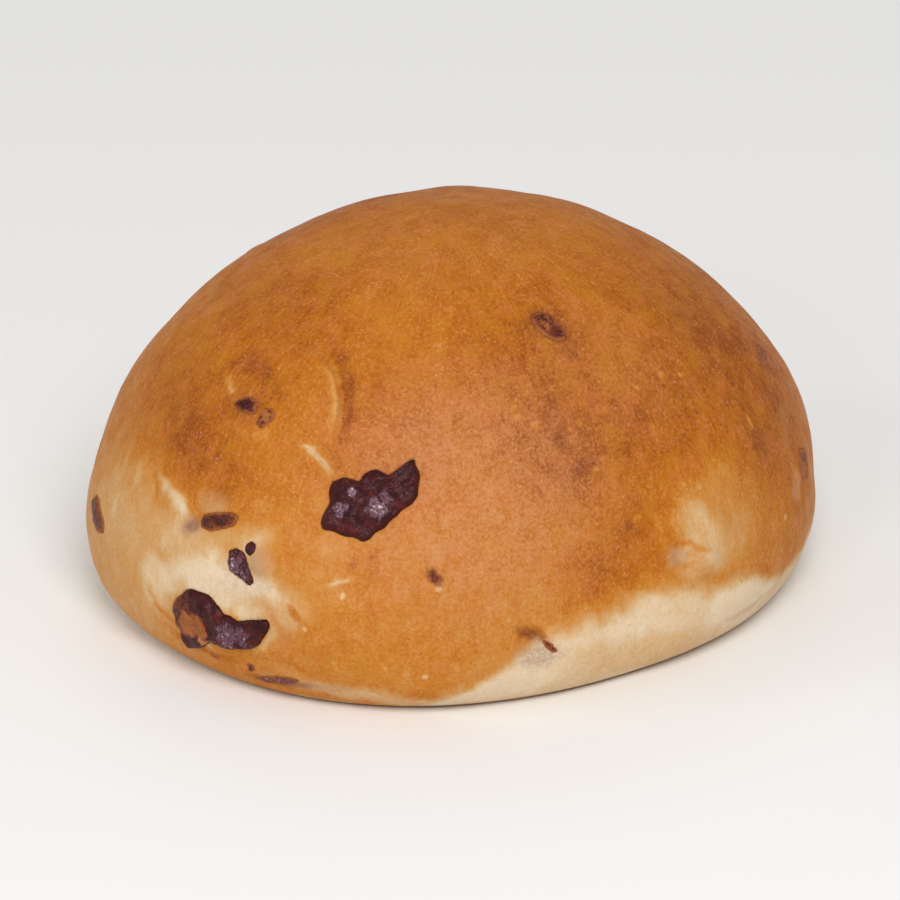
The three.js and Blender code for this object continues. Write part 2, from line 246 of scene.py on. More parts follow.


# Each piece: its name, place, visible outline in u and v, how far it stands out and how wrinkled it is. A
# film of crust (film) or a pale frost hides some of its skin: the same share all over, and more in round
# patches, each a u, a v, a radius and a share. The frost is partly a dusting of dough and partly painted
# glints, as on the front and corner berries. A chip is a crumb that has no node of its own.
berries = [
    # The front berry's frost patches are painted glints on its wrinkled skin.
    Berry("front", -143, 27, proud=0.55, wrinkle=0.42, frost=0.08, seed=1, outline=[
        (-4.3, 2), (-2.9, 2.6), (-1.2, 2.3), (-0.3, 3.5), (1, 3.8), (1.9, 3), (3.1, 3.9), (4.7, 5.5),
        (5.4, 3.7), (5.5, 1.5), (4.4, -0.3), (3.1, -1.3), (1.6, -3.1), (0, -4.2), (-1.7, -4),
        (-3.4, -3.6), (-4.8, -3.3), (-4.9, -2.5), (-4.5, -0.5),
    ], frost_and_glint_patches=[(-1.8, 1, 0.6, 0.8), (-2.9, -0.9, 1, 0.7), (1.3, -0.6, 1.4, 0.75), (2, 0.5, 0.8, 0.6)]),
    # The corner berry's frost patches are painted glints too.
    Berry("corner", -166, -0.5, proud=0.5, wrinkle=0.36, frost=0.1, seed=2, outline=[
        (-8.5, -0.3), (-7.5, 1.2), (-6.4, 2.4), (-5.1, 3.1), (-3.8, 3.4), (-2.7, 3.1), (-1.3, 2.5),
        (-0.3, 1.7), (1, 1.4), (2.2, 1.4), (3.9, 2), (5.9, 2.5), (6, 1.7), (5.5, 0.5), (4.7, -0.8),
        (3, -1.8), (0.3, -2.6), (-1.5, -2.6), (-2.4, -2.4), (-4.2, -4), (-6.4, -4.8), (-7.2, -4.2),
        (-7, -2.7), (-7.9, -1.9),
    ], films=[
        (-5.2, -1, 2, 0.58), (-3.7, -0.9, 1.7, 0.54), (-3, -2.5, 0.8, 0.8), (-7.3, -2.2, 1, 0.5),
        (-6.5, 1.2, 2.2, 0.32),
    ], frost_and_glint_patches=[(0.6, -0.7, 1.7, 0.65), (2.6, 0, 1.5, 0.6), (-2.2, 2.2, 0.7, 0.5)]),
    Berry("slit", -169, 18.5, proud=0.25, wrinkle=0.12, film=0.3, frost=0.05, seed=23, outline=[
        (-3.1, -0.6), (-2.7, 0.2), (-0.4, 1.1), (1.5, 1.6), (2.3, 1.2), (2.2, 0.4), (0.3, -0.7),
        (-1.5, -1.4), (-2.8, -1.3),
    ]),
    Berry("frosted", -164, 12, proud=0.3, wrinkle=0.25, frost=0.4, seed=4, outline=[
        (-1.9, 0.4), (-1.8, 1.4), (-0.6, 2), (0.6, 1.6), (1.2, 0.2), (2.1, -1.4), (1.7, -2),
        (0.9, -1.6), (-0.3, -1.3), (-1.6, -0.9),
    ], frost_and_glint_patches=[(-0.6, 0, 1.2, 0.68), (0.8, -0.9, 0.8, 0.6)]),
    Berry("frosted_dot", -164, 12, proud=0.2, wrinkle=0.12, seed=17, chip=True, outline=[
        (0.4, 1.9), (0.5, 2.7), (1.2, 3.3), (2, 3.1), (2.1, 2.3), (1.3, 1.5),
    ]),
    Berry("pucker", -172.5, 38.5, proud=0.2, wrinkle=0.2, film=0.22, seed=5, outline=[
        (-1.8, -0.3), (-1, 0.7), (0.4, 1.2), (1.7, 0.8), (2, -0.4), (0.9, -0.7), (-0.5, -0.8),
    ]),
    Berry("pucker_chip", -172.5, 38.5, proud=0.15, wrinkle=0.12, film=0.26, seed=18, chip=True, outline=[
        (2.4, -0.6), (2.8, 0.7), (3.9, 0.9), (4.6, 0.3), (4.2, -0.7), (3.4, -1.7), (2.6, -1.4),
    ], films=[(3.4, -0.2, 0.7, 0.6)]),
    Berry("left", 157.5, 6, proud=0.2, wrinkle=0.2, film=0.34, seed=6, outline=[
        (-2.7, 1), (-1.9, 1.9), (-0.4, 2), (0.8, 1), (2.4, 0.2), (2.5, -0.9), (0.4, -1.7),
        (-1.4, -1.2), (-2.6, -0.2),
    ]),
    Berry("crown", -97, 55.5, proud=0.1, wrinkle=0.12, film=0.34, seed=7, outline=[
        (-1.7, 2.2), (-0.3, 2.5), (0.9, 1.7), (1.4, 0.1), (1.3, -1.6), (0.3, -1.9), (-1, -0.9),
        (-1.7, 0.5),
    ], films=[(-0.3, 0.8, 0.8, 0.5)]),
    Berry("heel", -111.5, -1, proud=0.12, wrinkle=0.12, film=0.35, frost=0.1, seed=8, outline=[
        (-1.1, 0.9), (-0.2, 0.4), (1.1, -1.1), (0.4, -1.2), (-0.7, -0.2),
    ]),
    Berry("right", -42, 10.5, proud=0.12, wrinkle=0.15, film=0.42, seed=9, outline=[
        (-0.6, 2.2), (2.2, 0.8), (1.4, -0.6), (-0.2, -1.6), (-1.9, -0.9), (-1.6, 0.7),
    ], films=[(-1, -0.2, 1.2, 0.6), (0.9, 0.1, 0.7, 0.6)]),
    Berry("shoulder", -37, 31.5, proud=0.1, wrinkle=0.1, film=0.46, seed=10, outline=[
        (0, 1), (2.2, 0), (0.7, -0.8), (-0.7, -0.8), (-1.8, 0.2),
    ]),
    Berry("base", -157, -14, proud=0.05, wrinkle=0.1, film=0.35, frost=0.7, seed=11, outline=[
        (-3.4, -1.5), (-1.2, -0.5), (1.6, 0.2), (2.7, -0.1), (2.3, -0.7), (-0.1, -1.4), (-2.4, -2),
    ]),
    Berry("base_spot", -157, -14, proud=0.12, wrinkle=0.1, film=0.15, seed=19, chip=True, outline=[
        (-4.1, 0.5), (-3.5, 0.9), (-3.1, 0.5), (-3, -0.3), (-4, -0.8),
    ]),
    Berry("base_dash", -157, -14, proud=0.08, wrinkle=0.1, film=0.5, seed=20, chip=True, outline=[
        (-9.6, -0.2), (-8.1, 0.1), (-8, -0.6), (-9.3, -0.7),
    ]),
    # On the far sides
    Berry("back_notched", 6, 20, proud=0.45, wrinkle=0.35, frost=0.12, seed=12, outline=[
        (3.4, -1.3), (3.5, 0.6), (2.2, 2), (0.9, 2.4), (0.3, 1.6), (-0.8, 2.2), (-2.2, 2.4),
        (-3, 1.2), (-3.3, -0.3), (-2, -1.9), (-0.4, -2.8), (1.8, -2.6),
    ], frost_and_glint_patches=[(-1.2, 0.6, 1, 0.6)]),
    Berry("back_large", 24, 33, proud=0.55, wrinkle=0.42, frost=0.08, seed=13, outline=[
        (5, 1.6), (4.6, 3), (3, 3.6), (1.2, 3.2), (-1, 3), (-3, 1.8), (-4.6, 0.6), (-4.9, -1),
        (-3.6, -2.6), (-1.4, -3.2), (0.8, -2.8), (2.6, -2.4), (4.2, -1),
    ], frost_and_glint_patches=[(1.6, 0.4, 1.3, 0.7), (-2.2, -1, 0.9, 0.6)]),
    Berry("back_low", 64, 3, proud=0.35, wrinkle=0.3, film=0.1, frost=0.15, seed=14, outline=[
        (3.3, -0.6), (2.9, 0.9), (1.4, 1.9), (-0.5, 1.7), (-2.2, 2.1), (-3.3, 1), (-3, -0.6),
        (-1.4, -1.6), (0.6, -2.1), (2.5, -1.8),
    ], films=[(-1.8, 0.2, 1.2, 0.8)]),
    Berry("back_slot", 86, 40, proud=0.3, wrinkle=0.25, film=0.15, frost=0.05, seed=15, outline=[
        (4.8, 0.3), (3.6, 1.3), (1.5, 1.4), (-0.8, 1.1), (-3, 0.9), (-4.7, -0.2), (-3.5, -1.2),
        (-1.2, -1.4), (1.2, -1.1), (3.4, -0.9),
    ], films=[(3.4, 0.3, 1, 0.7)]),
    Berry("back_small", 112, 22, proud=0.25, wrinkle=0.2, film=0.25, frost=0.05, seed=16, outline=[
        (1.9, 1.4), (0.9, 1.9), (-0.4, 1.2), (-1.7, 0.2), (-1.9, -1.2), (-0.6, -1.7), (0.8, -0.9),
        (2, 0.1),
    ]),
]

# ---- Lines and folds in the crust ----

# Each line: its height, how much browner it is, its half-width, and places along it.
LINES = [
    # The lobe right of the pucker: its pale edge is a painted highlight on the raised crest, and the dark
    # groove outside it is painted shade
    (0.2, -0.24, 0.9, [(-163, 51), (-158, 49), (-154.5, 46), (-153, 42), (-153, 36.5)]),
    (-0.4, 0.5, 0.65, [(-161.5, 54), (-156, 51), (-152.5, 47), (-150.5, 42.5), (-150.5, 37.5)]),
    (0, -0.2, 0.4, [(-156, 47.5), (-153, 43.5), (-151.7, 40), (-151.7, 35.5)]),
    # The short pale fold that ends at the front berry
    (0.16, -0.55, 0.45, [(-158, 35.7), (-156, 35), (-152.5, 33), (-149.5, 30.5)]),
    (-0.16, 0.16, 0.4, [(-155, 36.5), (-151, 34.5), (-148.5, 32)]),
    # The groove over the pucker's berry, the pale ridge left of it and the rim under it
    (-0.3, 0.28, 1.2, [(175, 43), (179.5, 45.5), (-174.5, 45.5), (-168, 43.5), (-163, 40)]),
    (0.15, -0.4, 0.45, [(178, 42), (-179, 40.5), (-176.5, 39)]),
    (0.15, -0.2, 0.5, [(-173, 35), (-169, 34), (-165, 35)]),
    (0, -0.2, 0.5, [(-166, 35), (-164.5, 36)]),
    # The pale crease at the left, and the rusty line beside it
    (0.12, -0.36, 0.7, [(172, 21.7), (176, 20.5), (-179, 19), (-176, 17.5)]),
    (0.06, -0.2, 1.2, [(177, 19), (-179, 18), (-175.5, 17.5)]),
    (-0.12, 0.16, 0.3, [(172, 22), (172.5, 20), (174.5, 17)]),
    # A small scar under the front berry
    (0.1, -0.34, 0.32, [(-148.5, 12), (-147, 12.3), (-145.5, 13.2), (-143.5, 14)]),
    (-0.12, 0.34, 0.5, [(-144.6, 14.8), (-144.2, 16), (-143.4, 17.6)]),
    (-0.08, 0.26, 0.9, [(-142, 18.5), (-141.5, 16), (-140.8, 12.5)]),
    # The edge of the dough that is stretched over the corner berry
    (0.05, 0.16, 0.4, [(175.5, 3), (177, 0.5), (179, -3.5), (-176, -8)]),
    (0, 0.3, 0.5, [(180, -9.5), (-174, -12), (-169.5, -13), (-164.5, -11)]),
    (0, -0.3, 0.35, [(-172.5, -4), (-170.5, -8), (-169, -10.5)]),
    (0, -0.25, 0.8, [(-157.5, 4.5), (-157, 1.5), (-158.5, -2.5), (-161, -5)]),
    # The swirl on the blister
    (-0.08, 0.22, 0.35, [(-86.5, 11), (-84, 11.8), (-81.5, 11), (-80, 9.5), (-78, 8.5)]),
    (-0.06, 0.16, 0.35, [(-86.5, 11), (-85.5, 9), (-83.5, 7.5), (-81, 7.5)]),
    (-0.04, 0.1, 0.3, [(-83.5, 9.5), (-82, 9.5), (-80.5, 8)]),
    # The hump over the heel berry
    (0.15, 0.3, 0.45, [(-118, 0.5), (-116.5, 2.5), (-114, 2.5), (-111.5, 0)]),
    # Folds at the back
    (0.14, -0.2, 0.45, [(52, 45), (50.5, 41), (51, 37), (53.5, 33.5)]),
    (-0.2, 0.2, 0.5, [(50.5, 46), (49, 41), (49.5, 36.5), (52, 32.5)]),
    (0.12, -0.28, 0.35, [(97, 17), (100, 15), (104, 14.5)]),
    (-0.08, 0.2, 0.35, [(30, 15), (34, 17), (39, 17)]),
]

# Small spots: azimuth, rise, length, width and turn, and how much browner they are
SPOTS = [
    # Pale specks
    (-113.5, 41, 0.9, 0.9, 0, -0.4), (-109.5, 39, 1.2, 1.1, 0, -0.34),
    (-99, 37.5, 0.9, 0.6, 40, -0.3), (-101.5, 37, 0.8, 0.6, 0, -0.3), (-98, 29, 0.9, 0.7, 0, -0.36),
    (-92, 38.5, 0.9, 0.8, 0, -0.26), (-91.5, 18.5, 1, 0.8, 0, -0.3), (-82, 33, 0.8, 1.4, 20, -0.2),
    (-81.5, 40.5, 2, 0.4, -55, -0.26), (-73, 41, 1.1, 0.8, 0, -0.36),
    (-67.5, 39.5, 0.8, 0.6, 0, -0.4), (-56, 25.5, 0.8, 2, 5, -0.5), (-54.5, 6, 0.9, 0.9, 0, -0.35),
    (-79.5, 21.5, 0.7, 0.5, 0, -0.2), (-76.5, 20, 0.9, 0.8, 30, -0.16),
    (-130.5, 12.2, 1, 0.7, 0, -0.36), (-132.5, -7.5, 0.8, 0.8, 0, -0.35),
    (-145.5, 10.5, 0.7, 1, 0, -0.35), (-151.5, 3.5, 0.7, 0.7, 0, -0.3),
    (162, 20.5, 1.6, 4, 15, -0.08), (167.5, 19, 1.4, 3.4, 10, -0.1), (163, 11, 1.4, 3, 20, -0.07),
    (149, 38.5, 1, 1.6, 0, -0.16),
    # Dark specks
    (-153.2, 5.9, 2.2, 1, -50, 0.4), (-104.5, 43, 1.6, 1.6, 0, 0.12), (-104.5, 36, 0.9, 1.5, 10, 0.4),
    (-101.3, 29.8, 1.1, 1.2, 30, 0.3), (-102.8, 28, 0.8, 0.5, -40, 0.25),
    (-55, 21, 2.4, 1.4, -50, 0.14), (-93.5, 17.5, 0.9, 1, 0, 0.25),
    # On the far sides, dark and then pale
    (38, 42, 1, 0.8, 0, 0.25), (75, 20, 1.2, 0.9, 0, 0.25), (-8, 30, 0.9, 0.9, 0, 0.25),
    (-12, 44, 1.2, 0.7, 30, -0.3), (30, 60, 1, 1, 0, -0.3), (100, 30, 1.1, 0.8, 0, -0.3),
]

# Noise that roughens the crust: size and height
ROUGHNESS = [(7, 0.12), (2.6, 0.06)]

# Small nicks and pits: azimuth, rise, radius, depth
NICKS = [(-131, 14.5, 0.55, 0.45), (-104.5, 36, 0.6, 0.12), (-101.5, 29.5, 0.8, 0.14), (-55, 21, 0.8, 0.1)]

NOISE_SHIFT = (13.7, -7.3, 5.1)  # how far each seed moves the noise
FAR = 99.0  # more than any distance that matters
LINE_END_SHARE = 0.25  # what a line has left of its strength at its ends


def noise_at(points, size, seed):
    """Smooth noise from about -1 to 1, at points in millimetres."""
    shift = Vector(seed * step for step in NOISE_SHIFT)
    return np.array([noise.noise(Vector(point) / size + shift) for point in points.tolist()])


def warp(points, size, reach, seed):
    """The points, each moved by up to about the reach."""
    return points + reach * np.stack([noise_at(points, size, seed + i) for i in range(3)], axis=-1)


def line_distance(points, places):
    """Each point's distance from a line through some places, and how far along the line it is."""
    along = np.array([Place(*place).origin for place in places])
    nearest = np.full(len(points), FAR)
    travel = np.zeros(len(points))
    for i in range(len(along) - 1):
        step = along[i + 1] - along[i]
        share = np.clip((points - along[i]) @ step / (step @ step), 0, 1)
        distance = np.linalg.norm(points - along[i] - share[:, None] * step, axis=1)
        travel = np.where(distance < nearest, (i + share) / (len(along) - 1), travel)
        nearest = np.minimum(nearest, distance)
    return nearest, travel


def line_share(points, width, places):
    """1 on a line through some places, easing to 0 beside it and near its ends."""
    nearest, travel = line_distance(points, places)
    middle = smoothstep(travel, 0, 0.3) * (1 - smoothstep(travel, 0.75, 1))
    fade = LINE_END_SHARE + (1 - LINE_END_SHARE) * middle
    return fade * np.exp(-((nearest / width) ** 2))


def fine_relief(points):
    """The lines, roughness and nicks that only this crust has."""
    height = np.zeros(len(points))
    uneven = warp(points, size=1.6, reach=0.25, seed=50)
    for peak, _, width, places in LINES:
        if peak:
            height += peak * line_share(uneven, width, places)
    for seed, (size, peak) in enumerate(ROUGHNESS):
        height += peak * noise_at(points, size, seed)
    for azimuth, rise, radius, depth in NICKS:
        height -= depth * np.exp(-((Place(azimuth, rise).local(points)[2] / radius) ** 2))
    return height * smoothstep(points[:, 2], 0, RELIEF_FADE)


def pocket_relief(points):
    """The crust sinks into a pocket under each berry, with a low lip round it."""
    height = np.zeros(len(points))
    for berry in berries:
        gap = berry.outside(points)
        small = min(1, berry.radii.min() * POCKET_SLOPE / POCKET_DEPTH)
        pocket = POCKET_DEPTH * small * smoothstep(-gap, 0, POCKET_WALL)
        lip = LIP_HEIGHT * small * np.exp(-np.abs(gap) / LIP_WIDTH)
        height += np.where(gap < 0, 0, lip) - pocket
    return height


def crust_without_pockets(azimuth, rise):
    """Points on the crust, and their outward normals, for flat arrays of angles."""
    points = form_point(azimuth, rise)
    normals = form_normal(azimuth, rise)
    height = base_relief(points) + fine_relief(points)
    return points + normals * height[:, None], normals


# ---- Meshes ----

CELLS = 90  # along each edge of the cube that is turned into the crust's sphere
REFINE_BANDS = [2.0, 0.9]  # cells whose nearness is under this are split, once each
NARROW_LINE = 0.6  # lines of a smaller half-width need small cells


def make_object(name, vertices, faces, material):
    mesh = bpy.data.meshes.new(name)
    mesh.from_pydata((vertices * MM).tolist(), [], faces)
    mesh.polygons.foreach_set("use_smooth", [True] * len(mesh.polygons))
    mesh.materials.append(material)
    piece = bpy.data.objects.new(name, mesh)
    bpy.context.collection.objects.link(piece)
    return piece


def add_attribute(piece, name, values):
    """Give each vertex a number, or a vector where the values have three columns."""
    kind, key = ("FLOAT_VECTOR", "vector") if values.ndim > 1 else ("FLOAT", "value")
    attribute = piece.data.attributes.new(name, kind, "POINT")
    attribute.data.foreach_set(key, values.astype(np.float32).ravel())


def cube_sphere():
    """A bmesh of a cube whose faces are grids, with its vertices moved onto the unit sphere."""
    grid = bmesh.new()
    bmesh.ops.create_cube(grid, size=2)
    bmesh.ops.subdivide_edges(grid, edges=grid.edges[:], cuts=CELLS - 1, use_grid_fill=True)
    for vertex in grid.verts:
        vertex.co = Vector(math.tan(c * math.pi / 4) for c in vertex.co).normalized()
    return grid


def angles_of(directions):
    directions = unit(directions)
    return np.arctan2(directions[:, 1], directions[:, 0]), np.arcsin(np.clip(directions[:, 2], -1, 1))


def nearness(points):
    """Each point's distance from the nearest berry outline, narrow line, nick or spot."""
    nearest = np.full(len(points), FAR)
    for berry in berries:
        nearest = np.minimum(nearest, np.abs(berry.outside(points)))
    for _, _, width, places in LINES:
        if width < NARROW_LINE:
            nearest = np.minimum(nearest, line_distance(points, places)[0])
    for azimuth, rise, radius, _ in NICKS:
        wall = radius / 2
        nearest = np.minimum(nearest, np.abs(Place(azimuth, rise).local(points)[2] - wall))
    for azimuth, rise, long, wide, *_ in SPOTS:
        middle = (long + wide) / 5
        nearest = np.minimum(nearest, Place(azimuth, rise).local(points)[2] - middle)
    return nearest


def refined_sphere():
    """Directions and faces of the sphere, with smaller cells round the berries and lines."""
    grid = cube_sphere()
    for band in REFINE_BANDS:
        centres = np.array([face.calc_center_median()[:] for face in grid.faces])
        near = nearness(form_point(*angles_of(centres))) < band
        edges = {edge for face, picked in zip(grid.faces, near) if picked for edge in face.edges}
        bmesh.ops.subdivide_edges(grid, edges=list(edges), cuts=1, use_grid_fill=True)
    grid.verts.index_update()
    directions = np.array([vertex.co[:] for vertex in grid.verts])
    faces = [[vertex.index for vertex in face.verts] for face in grid.faces]
    grid.free()
    return directions, faces


# ---- How browned and stained the crust is ----

# Oval patches that change how browned the crust is, three of them painted light: azimuth, rise, length,
# width, turn, change
BROWNING_AND_PAINTED_LIGHT = [
    (-58, 32, 42, 38, 0, 0.17), (-104, 42, 20, 34, 0, 0.18), (-92, 12, 16, 12, 0, 0.18),
    (-104, 10, 12, 8, -10, 0.14), (-142, 40, 16, 14, 0, 0.1), (180, 28.5, 15, 13, 0, 0.16),
    (179, 29, 4, 3.6, 0, 0.14), (-172, 26, 9, 5, 0, 0.1), (-171.5, 21.4, 5, 2.4, 8, -0.24),
    (168, 35, 18, 13, 0, 0.14), (180, 56, 22, 14, 0, 0.14), (-172, 42, 5, 3, -30, 0.08),
    (-167, 27, 9, 5, 0, 0.1), (166, 2, 34, 24, 0, -0.2), (167, 16, 18, 12, 0, -0.07),
    (-173, 13, 14, 6, 0, -0.24), (-103, 31, 8, 12, 0, 0.12), (-46, 24, 18, 32, 0, 0.12),
    (-168.5, 7.4, 16, 5.2, 6, -0.46), (-163.5, 18, 7, 5, 0, -0.2), (-162, 3.6, 3.4, 2.4, 0, -0.3),
    (-151, 16, 7, 14, 0, -0.07), (178, 3.5, 6, 6, 0, -0.2), (-160.5, 13, 6, 9, 0, -0.2),
    (-155.6, 6.5, 6, 5.5, 0, -0.24), (-147.5, 19.3, 5, 3, 0, -0.1), (-120, -7, 12, 5, 0, -0.1),
    (-134, -20, 30, 3.4, 0, -0.3), (-75, 12.5, 15, 14, 0, -0.2), (-79, 12, 7, 10, 0, -0.17),
    (-66, 11, 12, 12, 0, -0.1), (-80, 15, 6, 6, 0, -0.1), (-71, 21, 6, 5, 0, -0.12),
    (-84, 9, 5, 5, 0, -0.16), (-76, 7.5, 5, 5, 0, -0.1), (-88, 51, 16, 14, 0, -0.1),
    # (-69, -9) is painted light on the shaded lower right of the pale band, and (-96, -0.5) and (-71.5, -6)
    # are painted highlights on it
    (-69, -9, 16, 6, 0, -0.1), (-48, 10, 1.6, 4, 0, -0.24), (-55, 21, 4.4, 4, 0, 0.2),
    (-37, 31, 6, 3, -20, 0.12), (-97, 56, 7, 8, 30, 0.12), (-96, -0.5, 9, 3, 8, -0.05),
    (-71.5, -6, 8, 4, 0, -0.12), (-90, -13, 30, 6, 0, 0.1),
    # On the far sides
    (20, 40, 34, 30, 0, 0.12), (95, 60, 30, 24, 0, 0.1), (60, 25, 16, 12, 0, -0.1),
    (110, 15, 22, 14, 0, 0.1), (5, 8, 16, 10, 0, -0.14), (130, 35, 18, 16, 0, -0.08),
]

# Stained patches, and patches of painted sheen and shade, in the same way, with each one's strength
STAINS_AND_PAINTED_LIGHT = {
    # Dark, by the cranberries, and painted shade inside the deep nick
    "plum": [
        (-175, 16, 3.6, 1.4, 38, 0.5), (-157, -17.5, 9, 1.4, 4, 0.5), (-97.5, 56, 3.2, 5.4, 32, 0.5),
        # (-131, 14.2) is painted shade inside the deep nick
        (-131, 14.2, 2.4, 1.1, -55, 0.95), (-104.5, 43, 2.2, 2.2, 0, 0.14),
        (-104.5, 36, 1.6, 2.4, 0, 0.3), (-101.5, 29.5, 2.2, 2.6, 0, 0.26),
        (-98, 30, 1.6, 1.4, 0, 0.14), (-37.5, 31.5, 4.2, 1.8, 0, 0.4), (-42.5, 12.5, 2, 2, 0, 0.5),
        (-44.5, 10, 1.8, 3, 0, 0.45), (-115, 2, 4, 1.6, -25, 0.6), (-172, 38.5, 7, 4, 0, 0.25),
        (-93.5, 17.5, 1.6, 1.4, 0, 0.2), (-66, -12, 10, 1, 0, 0.2),
    ],
    # Greyish, by the cranberries
    "ash": [
        (-175, 16, 3, 2.4, 35, 0.6), (-171.5, 21.3, 5, 2.6, 8, 0.28), (-160.3, 13.3, 3.4, 5, 0, 0.5),
        (-159, 9.7, 3, 2, 0, 0.4), (-164, 7.5, 13, 4, 8, 0.22), (-156.5, 4, 6, 6, 0, 0.16),
        (-113.5, -4, 6, 3.4, 0, 0.8), (-85, 9.5, 3, 2.6, -20, 0.55), (-81, 7.5, 2.2, 3, -20, 0.16),
        (-152, -16, 12, 1.6, 0, 0.5), (-49, 9, 1.4, 3, 0, 0.5),
    ],
    # A rosy tone on the crust: partly its own colour and partly a painted sheen of the key light
    "rosy": [
        (-125, 28, 34, 29, 0, 0.36), (-90, 44, 22, 18, 0, 0.12), (20, 10, 30, 20, 0, 0.25),
        (100, 40, 26, 18, 0, 0.25),
    ],
}

# The rise under which the flank stays pale, by azimuth
PALE_EDGE = [
    (-180, -26), (-135, -27), (-123, -11), (-118, -5), (-114, -0.5), (-108, 1.5), (-100, 3.2),
    (-90, 4.5), (-84, 4), (-79, 2.4), (-70, 1.2), (-62, -4.5), (-54, -10), (-44, -9), (-30, 4), (-15, 12),
    (0, 14), (15, 11), (30, 8), (50, 5), (70, 7), (90, 9), (110, 8), (130, 3), (150, -8), (165, -24),
    (180, -26),
]
PALE_SOFTNESS = 3.6  # degrees over which the flank turns brown, on each side of that edge
PALE_BROWN = 0.09
EDGE_WOBBLE = [(6, 2.4, 21), (2, 1.6, 22), (0.8, 1, 26)]  # noise on the edge: size, degrees, seed
DOME_BROWN = 0.55
CROWN_BROWN = 0.17  # what the crown has more than that
CROWN_RISES = (5, 45)  # the rises between which it comes in
LEAST_BROWN = 0.02

# The underside is browned by the tin, and so is a thin line over it, which is partly a painted contact
# shadow.
UNDER_START = 28  # degrees below 0
UNDER_FADE = 5
UNDER_BROWN_AND_SHADE = 0.85
UNDER_UNEVEN = 0.12


def patch_share(points, azimuth, rise, long, wide, turn):
    """1 in the middle of an oval patch, easing to 0 a little past its outline."""
    u, v, distance = Place(azimuth, rise).local(points)
    angle = math.radians(turn)
    along = (u * math.cos(angle) + v * math.sin(angle)) / (long / 2)
    across = (v * math.cos(angle) - u * math.sin(angle)) / (wide / 2)
    share = 1 - smoothstep(np.hypot(along, across), 0.4, 1.4)
    return np.where(distance < long + wide, share, 0)


def browning_with_painted_light(points, azimuth, rise):
    """How browned the crust is, from 0, bare dough, to 1, the darkest brown, with some painted light and
    shade in it.
    """
    level = np.degrees(rise)
    edge = np.interp(np.degrees(azimuth), *zip(*PALE_EDGE))
    wobble = sum(degrees * noise_at(points, size, seed) for size, degrees, seed in EDGE_WOBBLE)
    above = smoothstep(level + wobble, edge - PALE_SOFTNESS, edge + PALE_SOFTNESS)
    dome = DOME_BROWN + CROWN_BROWN * smoothstep(level, *CROWN_RISES)
    brown_and_painted_light = PALE_BROWN + above * (dome - PALE_BROWN)
    warped = warp(points, size=3.5, reach=1.6, seed=23)
    warped = warp(warped, size=1.1, reach=0.5, seed=27)
    for *patch, change in BROWNING_AND_PAINTED_LIGHT:
        brown_and_painted_light = brown_and_painted_light + change * patch_share(warped, *patch)
    uneven = warp(points, size=1.1, reach=0.35, seed=60)
    for _, change, width, places in LINES:
        brown_and_painted_light = brown_and_painted_light + change * line_share(uneven, width, places)
    slight = warp(points, size=0.8, reach=0.15, seed=63)
    for *spot, change in SPOTS:
        brown_and_painted_light = brown_and_painted_light + change * patch_share(slight, *spot)
    under = smoothstep(-level, UNDER_START, UNDER_START + UNDER_FADE)
    under_brown_and_shade = UNDER_BROWN_AND_SHADE + UNDER_UNEVEN * noise_at(points, size=8, seed=28)
    brown_and_painted_light = brown_and_painted_light + under * (under_brown_and_shade - brown_and_painted_light)
    return np.clip(brown_and_painted_light, LEAST_BROWN, 1)


def patch_strength(points, patches):
    """The strength of the strongest patch at each point."""
    warped = warp(points, size=1.2, reach=0.4, seed=31)
    total = np.zeros(len(points))
    for *patch, strength in patches:
        total = np.maximum(total, strength * patch_share(warped, *patch))
    return total


STREAK_STRETCH = 3.5  # how much longer the crust's streaks are than wide


def slope_place(azimuth, rise):
    """Where noise is taken for streaks that run down the slope, in millimetres."""
    round_place = WIDTH / 2 * np.stack([np.cos(azimuth), np.sin(azimuth)], axis=-1)
    return np.column_stack([round_place, rise * WIDTH / 2 / STREAK_STRETCH])


# ---- Materials ----


def srgb(red, green, blue):
    """A linear colour from 8-bit values as they look on screen."""
    values = (c / 255 for c in (red, green, blue))
    return (*(c / 12.92 if c <= 0.04045 else ((c + 0.055) / 1.055) ** 2.4 for c in values), 1)


